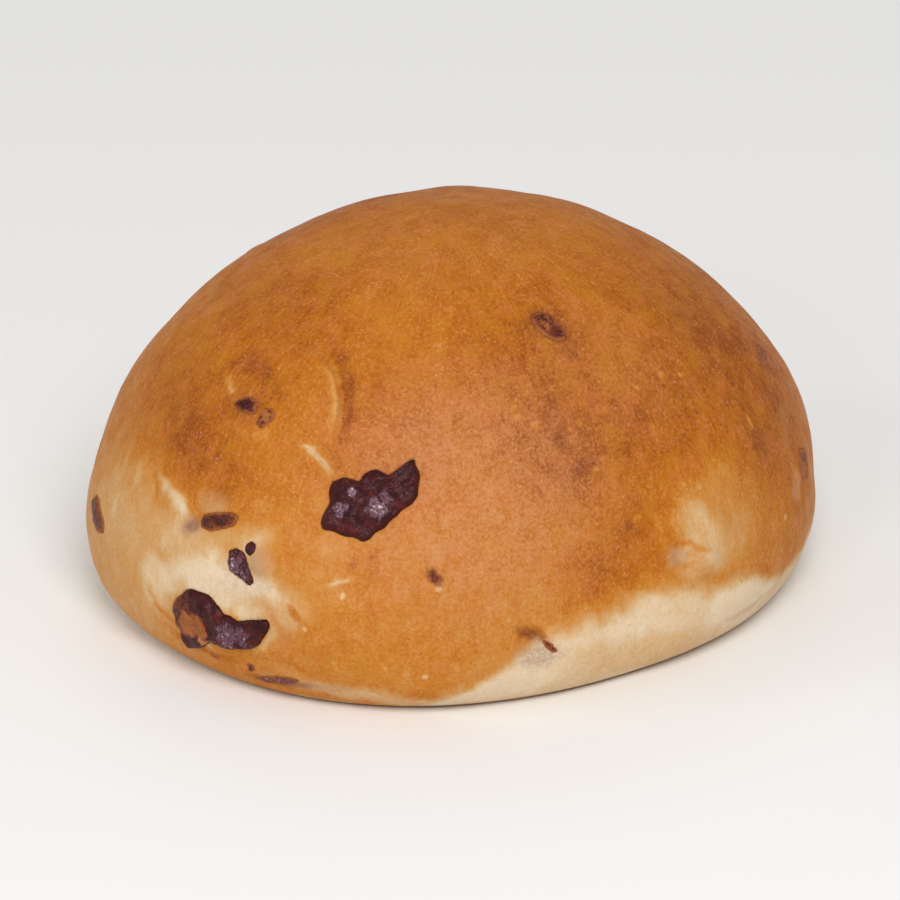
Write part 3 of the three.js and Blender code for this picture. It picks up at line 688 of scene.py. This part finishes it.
class Nodes:
    """Short calls that add nodes to a new material and link them."""

    def __init__(self, name):
        self.material = bpy.data.materials.new(name)
        self.material.use_nodes = True
        self.tree = self.material.node_tree
        self.shader = self.tree.nodes["Principled BSDF"]

    def link(self, value, socket):
        if hasattr(value, "is_output"):
            self.tree.links.new(value, socket)
        else:
            socket.default_value = value

    def node(self, kind, inputs, **settings):
        """The outputs of a new node with these settings, and these inputs linked or set."""
        node = self.tree.nodes.new("ShaderNode" + kind)
        for name, value in settings.items():
            setattr(node, name, value)
        for name, value in inputs.items():
            self.link(value, node.inputs[name])
        return node.outputs

    def attribute(self, name, output="Fac"):
        return self.node("Attribute", {}, attribute_name=name)[output]

    def position(self, turn=(0, 0, 0)):
        """The place on the piece, in millimetres, turned by some degrees."""
        place = self.node("TexCoord", {})["Object"]
        rotation = [math.radians(angle) for angle in turn]
        return self.node("Mapping", {"Vector": place, "Rotation": rotation, "Scale": [1 / MM] * 3})[0]

    def noise(self, position, size, detail=2, roughness=0.5):
        """Noise from 0 to 1 whose largest waves are about size millimetres long."""
        inputs = {"Vector": position, "Scale": 1 / size, "Detail": detail, "Roughness": roughness}
        return self.node("TexNoise", inputs)["Fac"]

    def spots(self, position, spacing, radius, share):
        """Scattered round spots: 1 inside and 0 outside. Only a share of the points has one."""
        cells = self.node("TexVoronoi", {"Vector": position, "Scale": 1 / spacing})
        picked = self.math("LESS_THAN", cells["Color"], share)
        inside = self.range(cells["Distance"], 0.5 * radius / spacing, radius / spacing, 1.0, 0.0)
        return self.math("MULTIPLY", inside, picked)

    def math(self, operation, *values, clamp=False):
        return self.node("Math", dict(enumerate(values)), operation=operation, use_clamp=clamp)[0]

    def add(self, *terms):
        """The sum of values, each times its factor."""
        total = 0.0
        for value, factor in terms:
            total = self.math("MULTIPLY_ADD", value, factor, total)
        return total

    def blend(self, noises, shares):
        """The sum of some of the noises, each times its share."""
        return self.add(*((noises[name], share) for name, share in shares.items()))

    def range(self, value, low, high, to_low=0.0, to_high=1.0):
        """The value, eased from one range to another."""
        names = ("Value", "From Min", "From Max", "To Min", "To Max")
        inputs = dict(zip(names, (value, low, high, to_low, to_high)))
        return self.node("MapRange", inputs, interpolation_type="SMOOTHSTEP")[0]

    def mix(self, share, first, second):
        # The colour sockets are found by number, as others have the same names.
        return self.node("Mix", {"Factor": share, 6: first, 7: second}, data_type="RGBA")[2]

    def ramp(self, value, stops):
        node = self.tree.nodes.new("ShaderNodeValToRGB")
        elements = node.color_ramp.elements
        for index, (place, colour) in enumerate(stops):
            element = elements[index] if index < 2 else elements.new(place)
            element.position = place
            element.color = colour
        self.link(value, node.inputs[0])
        return node.outputs["Color"]

    def bump(self, height, distance):
        return self.node("Bump", {"Height": height, "Distance": distance * MM})[0]


# The crust's colour by how browned it is
CRUST_STOPS = [
    (0.0, srgb(226, 204, 174)),
    (0.15, srgb(216, 184, 142)),
    (0.3, srgb(206, 158, 102)),
    (0.45, srgb(198, 133, 62)),
    (0.6, srgb(189, 116, 37)),
    (0.75, srgb(179, 102, 23)),
    (0.9, srgb(166, 90, 19)),
    (1.0, srgb(147, 75, 21)),
]

GOLDEN = srgb(190, 122, 34)
GOLDEN_SHARE = 0.3
ROSY = srgb(200, 114, 58)
ROSY_SHARE = 0.28
# The colour of the rosy tone and painted sheen
ROSY_TONE_AND_SHEEN = srgb(200, 136, 98)
# The colours of the pale specks: partly blisters of the crust, partly painted glints
PALE_SPECK_AND_GLINT = srgb(232, 172, 124)
GOLDEN_SPECK_AND_GLINT = srgb(222, 166, 80)
ASH = srgb(178, 148, 128)
PLUM = srgb(96, 42, 34)

# How strongly each noise changes how browned the crust is
TEXTURE = {"broad": 0.2, "mottle": 0.4, "streaks": 0.42, "grain": 0.62}
PORE_SHARE = 0.1
PALE_TEXTURE = 0.35  # how much of the texture is left on pale dough

# How strongly each noise makes pale specks: partly blisters of the crust, partly painted glints
SPECKS_AND_GLINTS = {"specks": 0.36, "dots": 0.18, "dashes": 0.14, "crumbs": 0.34}
SPECKS_AND_GLINTS_START = 0.13  # specks show where their sum is over this
# Noise that makes the rosy tone and painted sheen patchy
ROSY_SHEEN_PATCHINESS = {"mottle": 0.3, "grain": 0.7}

# How high each noise stands in the bump of the crust
CRUST_BUMPS = {"grain": 0.7, "dots": 0.2, "specks": 0.3, "streaks": 0.5, "pores": -0.5}
CRUST_BUMP = 0.12


def crust_noises(nodes):
    """The noises that the crust's colour and relief are made of, by name."""
    position = nodes.position()
    slope = nodes.attribute("slope", "Vector")
    crumb_noise = nodes.noise(nodes.position(turn=(40, 0, 20)), 0.36, roughness=0.7)
    rosy_noise = nodes.noise(nodes.position(turn=(50, 10, 0)), 2.6, detail=3)
    return {
        "broad": nodes.noise(position, 9),
        "mottle": nodes.noise(position, 2.2, detail=3, roughness=0.6),
        "streaks": nodes.noise(slope, 0.8, detail=3, roughness=0.6),
        "grain": nodes.noise(position, 0.42, detail=2, roughness=0.7),
        "pores": nodes.spots(nodes.position(turn=(20, 40, 0)), 2.1, 0.22, 0.5),
        "golden": nodes.range(nodes.noise(position, 3.3, detail=3), 0.46, 0.66),
        "rosy": nodes.range(rosy_noise, 0.48, 0.66, 0.0, ROSY_SHARE),
        "specks": nodes.range(nodes.noise(position, 0.8, detail=3, roughness=0.75), 0.56, 0.78),
        "dots": nodes.spots(nodes.position(turn=(0, 30, 60)), 1.35, 0.22, 0.5),
        "dashes": nodes.range(nodes.noise(slope, 0.55, detail=1), 0.6, 0.8),
        "crumbs": nodes.range(crumb_noise, 0.42, 0.72),
    }


def baked_colour(nodes, noises, browned):
    """The colour of the browned crust, with golden and rosy patches and a painted rosy sheen."""
    texture = nodes.blend(noises, TEXTURE)
    texture = nodes.math("MULTIPLY_ADD", noises["pores"], PORE_SHARE, texture)
    texture = nodes.math("SUBTRACT", texture, sum(TEXTURE.values()) / 2)
    texture = nodes.math("MULTIPLY", texture, nodes.range(browned, 0.0, 1.0, PALE_TEXTURE, 1.0))
    colour = nodes.ramp(nodes.math("ADD", nodes.attribute("brown_and_painted_light"), texture, clamp=True), CRUST_STOPS)
    golden = nodes.math("MULTIPLY", nodes.math("MULTIPLY", noises["golden"], browned), GOLDEN_SHARE)
    colour = nodes.mix(golden, colour, GOLDEN)
    colour = nodes.mix(nodes.math("MULTIPLY", noises["rosy"], browned), colour, ROSY)
    # The rosy tone and painted sheen, mixed in where the rosy patches lie
    patchy = nodes.range(nodes.blend(noises, ROSY_SHEEN_PATCHINESS), 0.38, 0.62, 1.5, 0.4)
    return nodes.mix(nodes.math("MULTIPLY", nodes.attribute("rosy"), patchy), colour, ROSY_TONE_AND_SHEEN)


def with_specks_and_glints(nodes, noises, browned, colour):
    """The colour with pale specks and short streaks, yellower where the crust is golden. They are partly
    blisters of the crust and partly painted glints.
    """
    pale = nodes.math("SUBTRACT", nodes.blend(noises, SPECKS_AND_GLINTS), SPECKS_AND_GLINTS_START)
    speck_and_glint = nodes.mix(noises["golden"], PALE_SPECK_AND_GLINT, GOLDEN_SPECK_AND_GLINT)
    return nodes.mix(nodes.math("MULTIPLY", pale, browned, clamp=True), colour, speck_and_glint)


def with_stains(nodes, grain, colour):
    """The colour with the greyish and the dark stains of the cranberries, and painted shade inside the deep
    nick.
    """
    ash = nodes.math("MULTIPLY", nodes.attribute("ash"), nodes.range(grain, 0.3, 0.6, 0.35, 1.0))
    colour = nodes.mix(ash, colour, ASH)
    plum = nodes.math("MULTIPLY", nodes.attribute("plum"), nodes.range(grain, 0.2, 0.55, 0.6, 1.0))
    return nodes.mix(plum, colour, PLUM)


def crust_material():
    nodes = Nodes("crust")
    noises = crust_noises(nodes)
    browned = nodes.range(nodes.attribute("brown_and_painted_light"), 0.3, 0.7)
    colour = baked_colour(nodes, noises, browned)
    colour = with_specks_and_glints(nodes, noises, browned, colour)
    colour = with_stains(nodes, noises["grain"], colour)
    nodes.link(colour, nodes.shader.inputs["Base Color"])
    nodes.link(nodes.range(noises["mottle"], 0.3, 0.7, 0.42, 0.54), nodes.shader.inputs["Roughness"])
    relief = nodes.blend(noises, CRUST_BUMPS)
    nodes.link(nodes.bump(relief, CRUST_BUMP), nodes.shader.inputs["Normal"])
    nodes.shader.inputs["Specular IOR Level"].default_value = 0.07
    return nodes.material


SKIN_STOPS = [(0.3, srgb(44, 8, 12)), (0.55, srgb(66, 18, 20)), (0.75, srgb(104, 40, 34))]
FILM_STOPS = [(0.5, srgb(104, 46, 28)), (0.75, srgb(160, 92, 46)), (1.0, srgb(200, 146, 94))]
FILM_SCALE = 0.75  # from how thick a film is to its place among those colours
# The frost's pale lilac and pinkish white: partly a dusting of dough, partly painted glints
THIN_FROST_AND_GLINT = srgb(122, 92, 108)
THIN_FROST_AND_GLINT_SHARE = 0.7
THICK_FROST_AND_GLINT = srgb(214, 180, 178)
BERRY_BUMP = 0.25


def berry_material():
    nodes = Nodes("cranberry")
    position = nodes.position()
    mottle = nodes.noise(position, 1.3, detail=3, roughness=0.6)
    grain = nodes.noise(position, 0.3, detail=2, roughness=0.65)
    skin = nodes.ramp(mottle, SKIN_STOPS)
    crumbs = nodes.spots(position, 0.75, 0.3, 0.35)
    # The frost: partly a dusting of dough, partly painted glints
    dusting_and_glints = nodes.add((nodes.attribute("frost"), 0.75), (grain, 1.0), (crumbs, 0.2))
    colour = nodes.mix(nodes.range(dusting_and_glints, 0.72, 1.12, 0.0, THIN_FROST_AND_GLINT_SHARE), skin, THIN_FROST_AND_GLINT)
    colour = nodes.mix(nodes.range(dusting_and_glints, 1.08, 1.28), colour, THICK_FROST_AND_GLINT)
    film = nodes.add((nodes.attribute("film"), 1.0), (grain, 0.5), (mottle, 0.3))
    film_colour = nodes.ramp(nodes.math("MULTIPLY", film, FILM_SCALE), FILM_STOPS)
    covered = nodes.range(film, 0.5, 0.95)
    colour = nodes.mix(covered, colour, film_colour)
    relief = nodes.add((mottle, 0.8), (grain, 0.4))
    nodes.link(colour, nodes.shader.inputs["Base Color"])
    nodes.link(nodes.range(covered, 0.0, 1.0, 0.3, 0.5), nodes.shader.inputs["Roughness"])
    nodes.link(nodes.bump(relief, BERRY_BUMP), nodes.shader.inputs["Normal"])
    nodes.shader.inputs["Specular IOR Level"].default_value = 0.16
    return nodes.material


def floor_material():
    nodes = Nodes("floor")
    nodes.shader.inputs["Base Color"].default_value = srgb(244, 243, 241)
    nodes.shader.inputs["Roughness"].default_value = 0.9
    nodes.shader.inputs["Specular IOR Level"].default_value = 0.1
    return nodes.material


# ---- Pieces ----

CRUST_CLEARANCE = 0.02  # the crust's least height, but for its flat underside
BERRY_CLEARANCE = 0.05


def make_crust():
    directions, faces = refined_sphere()
    azimuth, rise = angles_of(directions)
    form = form_point(azimuth, rise)
    points, normals = crust_without_pockets(azimuth, rise)
    points = points + normals * pocket_relief(form)[:, None]
    points[:, 2] = np.where(form[:, 2] <= 0, 0, np.maximum(points[:, 2], CRUST_CLEARANCE))
    piece = make_object("bread_crust", points, faces, crust_material())
    add_attribute(piece, "brown_and_painted_light", browning_with_painted_light(form, azimuth, rise))
    for name, patches in STAINS_AND_PAINTED_LIGHT.items():
        add_attribute(piece, name, patch_strength(form, patches))
    add_attribute(piece, "slope", slope_place(azimuth, rise))
    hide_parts("bun")
    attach(piece, "root")


SKIN_CELL = 0.2  # the usual spacing of a berry's vertices
LEAST_RINGS = 6
LEAST_SPOKES = 24
UNDER_RINGS = 5
UNDER_END = 0.1  # the last of them, as a share of the outline
EDGE_WIDTH = 0.9  # how far inside its outline a berry has risen to its full height
RIM_FILM = 0.58  # a film of crust hides at least this share of the skin at the outline
RIM_WIDTH = 0.45
RIM_DROP = 0.05  # a berry's outline lies this far under the crust round it
BERRY_DEPTH = 1.3


def angles_at(place, u, v):
    """The angles of the points on the form that lie at u and v from a place, by Newton's method."""
    small = 1e-5
    azimuth = np.full(len(u), place.azimuth)
    rise = np.full(len(u), place.rise)
    for _ in range(6):
        here = form_point(azimuth, rise) - place.origin
        by_azimuth = (form_point(azimuth + small, rise) - place.origin - here) / small
        by_rise = (form_point(azimuth, rise + small) - place.origin - here) / small
        miss_u = u - here @ place.u
        miss_v = v - here @ place.v
        a, b = by_azimuth @ place.u, by_rise @ place.u
        c, d = by_azimuth @ place.v, by_rise @ place.v
        scale = a * d - b * c
        azimuth = azimuth + (d * miss_u - b * miss_v) / scale
        rise = rise + (a * miss_v - c * miss_u) / scale
    return azimuth, rise


def berry_height(berry, u, v, inside):
    """The skin's height over the crust: a low cap with deep soft folds, its edge tucked in."""
    flat = np.stack([u, v, np.zeros(len(u))], axis=-1)
    curled = warp(flat, size=2.4, reach=1.1, seed=berry.seed + 40)
    ridges = 1 - 2 * np.abs(noise_at(curled, 2.1, berry.seed))
    creases = 1 - 2 * np.abs(noise_at(curled, 0.95, berry.seed + 20))
    edge = 1 - np.clip(inside / EDGE_WIDTH, 0, 1)
    folds = berry.wrinkle * (0.65 * ridges + 0.35 * creases - 0.3)
    return (berry.proud + folds) * np.sqrt(1 - edge**2) - RIM_DROP * edge**2


def cover_share(u, v, overall, patches, seed):
    """How much of the skin is hidden: the overall share, and more in ragged round patches."""
    flat = np.stack([u, v, np.zeros(len(u))], axis=-1)
    ragged = warp(flat, size=0.9, reach=0.7, seed=seed)
    total = np.full(len(u), float(overall))
    for middle_u, middle_v, radius, share in patches:
        away = np.hypot(ragged[:, 0] - middle_u, ragged[:, 1] - middle_v) / radius
        total = np.maximum(total, share * (1 - smoothstep(away, 0.6, 1.2)))
    return total


def skin_points(berry, rings, angle, reach):
    """The u and v of a berry's skin, its middle and then rings, and how far each is inside."""
    ring_shares = [(i + 1) / rings for i in range(rings)]
    share = np.concatenate([[0], np.repeat(ring_shares, len(angle))])
    spoke_angle = np.concatenate([[0], np.tile(angle, rings)])
    spoke_reach = np.concatenate([[0], np.tile(reach, rings)])
    u = berry.centre[0] + share * spoke_reach * np.cos(spoke_angle)
    v = berry.centre[1] + share * spoke_reach * np.sin(spoke_angle)
    inside = np.concatenate([[reach.min()], (1 - share[1:]) * spoke_reach[1:]])
    return u, v, inside


def under_points(berry, angle, reach):
    """The underside's u, v and height: the outline shrinks and sinks into the pocket."""
    depth = min(BERRY_DEPTH, berry.radii.min() * POCKET_SLOPE)
    rings = []
    for i in range(UNDER_RINGS):
        turn = (i + 1) / UNDER_RINGS * math.pi / 2
        share = math.cos(turn) if i < UNDER_RINGS - 1 else UNDER_END
        u = berry.centre[0] + share * reach * np.cos(angle)
        v = berry.centre[1] + share * reach * np.sin(angle)
        rings.append([u, v, np.full(len(angle), -RIM_DROP - depth * math.sin(turn))])
    return np.concatenate(rings, axis=1)


def ring_faces(rings, spokes):
    """Faces from a middle point out through the rings round it, closed at the last ring."""

    def vertex(ring, spoke):
        return 1 + ring * spokes + spoke % spokes

    faces = [[0, vertex(0, spoke), vertex(0, spoke + 1)] for spoke in range(spokes)]
    for ring in range(rings - 1):
        for spoke in range(spokes):
            inner = [vertex(ring, spoke + 1), vertex(ring, spoke)]
            outer = [vertex(ring + 1, spoke), vertex(ring + 1, spoke + 1)]
            faces.append(inner + outer)
    faces.append([vertex(rings - 1, spoke) for spoke in range(spokes)][::-1])
    return faces


def make_berry(berry, material):
    rings = max(LEAST_RINGS, round(berry.radii.mean() / SKIN_CELL))
    spokes = max(LEAST_SPOKES, round(2 * math.pi * berry.radii.mean() / SKIN_CELL))
    angle = np.arange(spokes) * 2 * math.pi / spokes
    reach = berry.reach(angle)
    u, v, inside = skin_points(berry, rings, angle, reach)
    skin_height = berry_height(berry, u, v, inside)
    under_u, under_v, under_height = under_points(berry, angle, reach)
    u = np.append(u, under_u)
    v = np.append(v, under_v)
    height = np.append(skin_height, under_height)
    crust, normals = crust_without_pockets(*angles_at(berry.place, u, v))
    points = crust + normals * height[:, None]
    points[:, 2] = np.maximum(points[:, 2], BERRY_CLEARANCE)
    faces = ring_faces(rings + UNDER_RINGS, spokes)
    piece = make_object(f"berry_{berry.name}", points, faces, material)
    film = cover_share(u, v, berry.film, berry.films, berry.seed + 80)
    if berry.film:
        skin = slice(len(inside))
        film[skin] += np.maximum(RIM_FILM - film[skin], 0) * np.exp(-((inside / RIM_WIDTH) ** 2))
    add_attribute(piece, "film", film)
    add_attribute(piece, "frost", cover_share(u, v, berry.frost, berry.frost_and_glint_patches, berry.seed + 90))
    if not berry.chip:
        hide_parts(f"cranberry_{berry.name}")
    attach(piece, "root")


# ---- Stage ----

CAMERA_AZIMUTH = -38  # it looks along this turn of +Y
CAMERA_ELEVATION = 24
CAMERA_DISTANCE = 2000
CAMERA_SIDE = -0.34  # the point that it looks at, to the right of the origin in its view
CAMERA_RAISE = 14.3  # and above it
VIEW_WIDTH = 103.45  # what the frame covers at the roll
SENSOR_WIDTH = 36
VIEW_END = 20000  # the camera shows nothing farther than this
FLOOR_HALF = 3000

# Each light: its name, azimuth, elevation, distance, size and power
LIGHTS = [
    ("key", -28, 46, 900, 460, 4.4),
    ("front", -60, 30, 1100, 260, 1.2),
    ("back", 140, 40, 1100, 500, 0.8),
    ("left", -115, 24, 1100, 300, 1.2),
]


def camera_axes(azimuth, elevation):
    """The directions to the right of, above and back to a camera."""
    turn, tilt = math.radians(azimuth), math.radians(elevation)
    right = Vector((math.cos(turn), math.sin(turn), 0))
    back = Vector((math.sin(turn) * math.cos(tilt), -math.cos(turn) * math.cos(tilt), math.sin(tilt)))
    return right, back.cross(right), back


def make_camera():
    right, up, back = camera_axes(CAMERA_AZIMUTH, CAMERA_ELEVATION)
    data = bpy.data.cameras.new("camera")
    data.sensor_width = SENSOR_WIDTH
    data.lens = SENSOR_WIDTH * CAMERA_DISTANCE / VIEW_WIDTH
    data.clip_end = VIEW_END * MM
    camera = bpy.data.objects.new("camera", data)
    aim = right * CAMERA_SIDE + up * CAMERA_RAISE
    camera.location = (aim + back * CAMERA_DISTANCE) * MM
    camera.rotation_euler = back.to_track_quat("Z", "Y").to_euler()
    bpy.context.collection.objects.link(camera)
    bpy.context.scene.camera = camera


def make_light(name, azimuth, elevation, distance, size, power):
    back = camera_axes(azimuth, elevation)[2]
    data = bpy.data.lights.new(name, "AREA")
    data.shape = "DISK"
    data.size = size * MM
    data.energy = power
    light = bpy.data.objects.new(name, data)
    light.location = back * distance * MM
    light.rotation_euler = back.to_track_quat("Z", "Y").to_euler()
    bpy.context.collection.objects.link(light)


def make_world(strength):
    world = bpy.data.worlds.new("studio")
    world.use_nodes = True
    background = world.node_tree.nodes["Background"]
    background.inputs["Color"].default_value = (1, 1, 1, 1)
    background.inputs["Strength"].default_value = strength
    bpy.context.scene.world = world


def make_floor():
    corners = FLOOR_HALF * np.array([[-1, -1, 0], [1, -1, 0], [1, 1, 0], [-1, 1, 0]], dtype=float)
    floor = make_object("floor", corners, [[0, 1, 2, 3]], floor_material())


make_camera()
make_world(strength=0.46)
for light in LIGHTS:
    make_light(*light)
make_floor()
bpy.context.scene.view_settings.view_transform = "Standard"

make_crust()
cranberry_skin = berry_material()
for berry in berries:
    make_berry(berry, cranberry_skin)
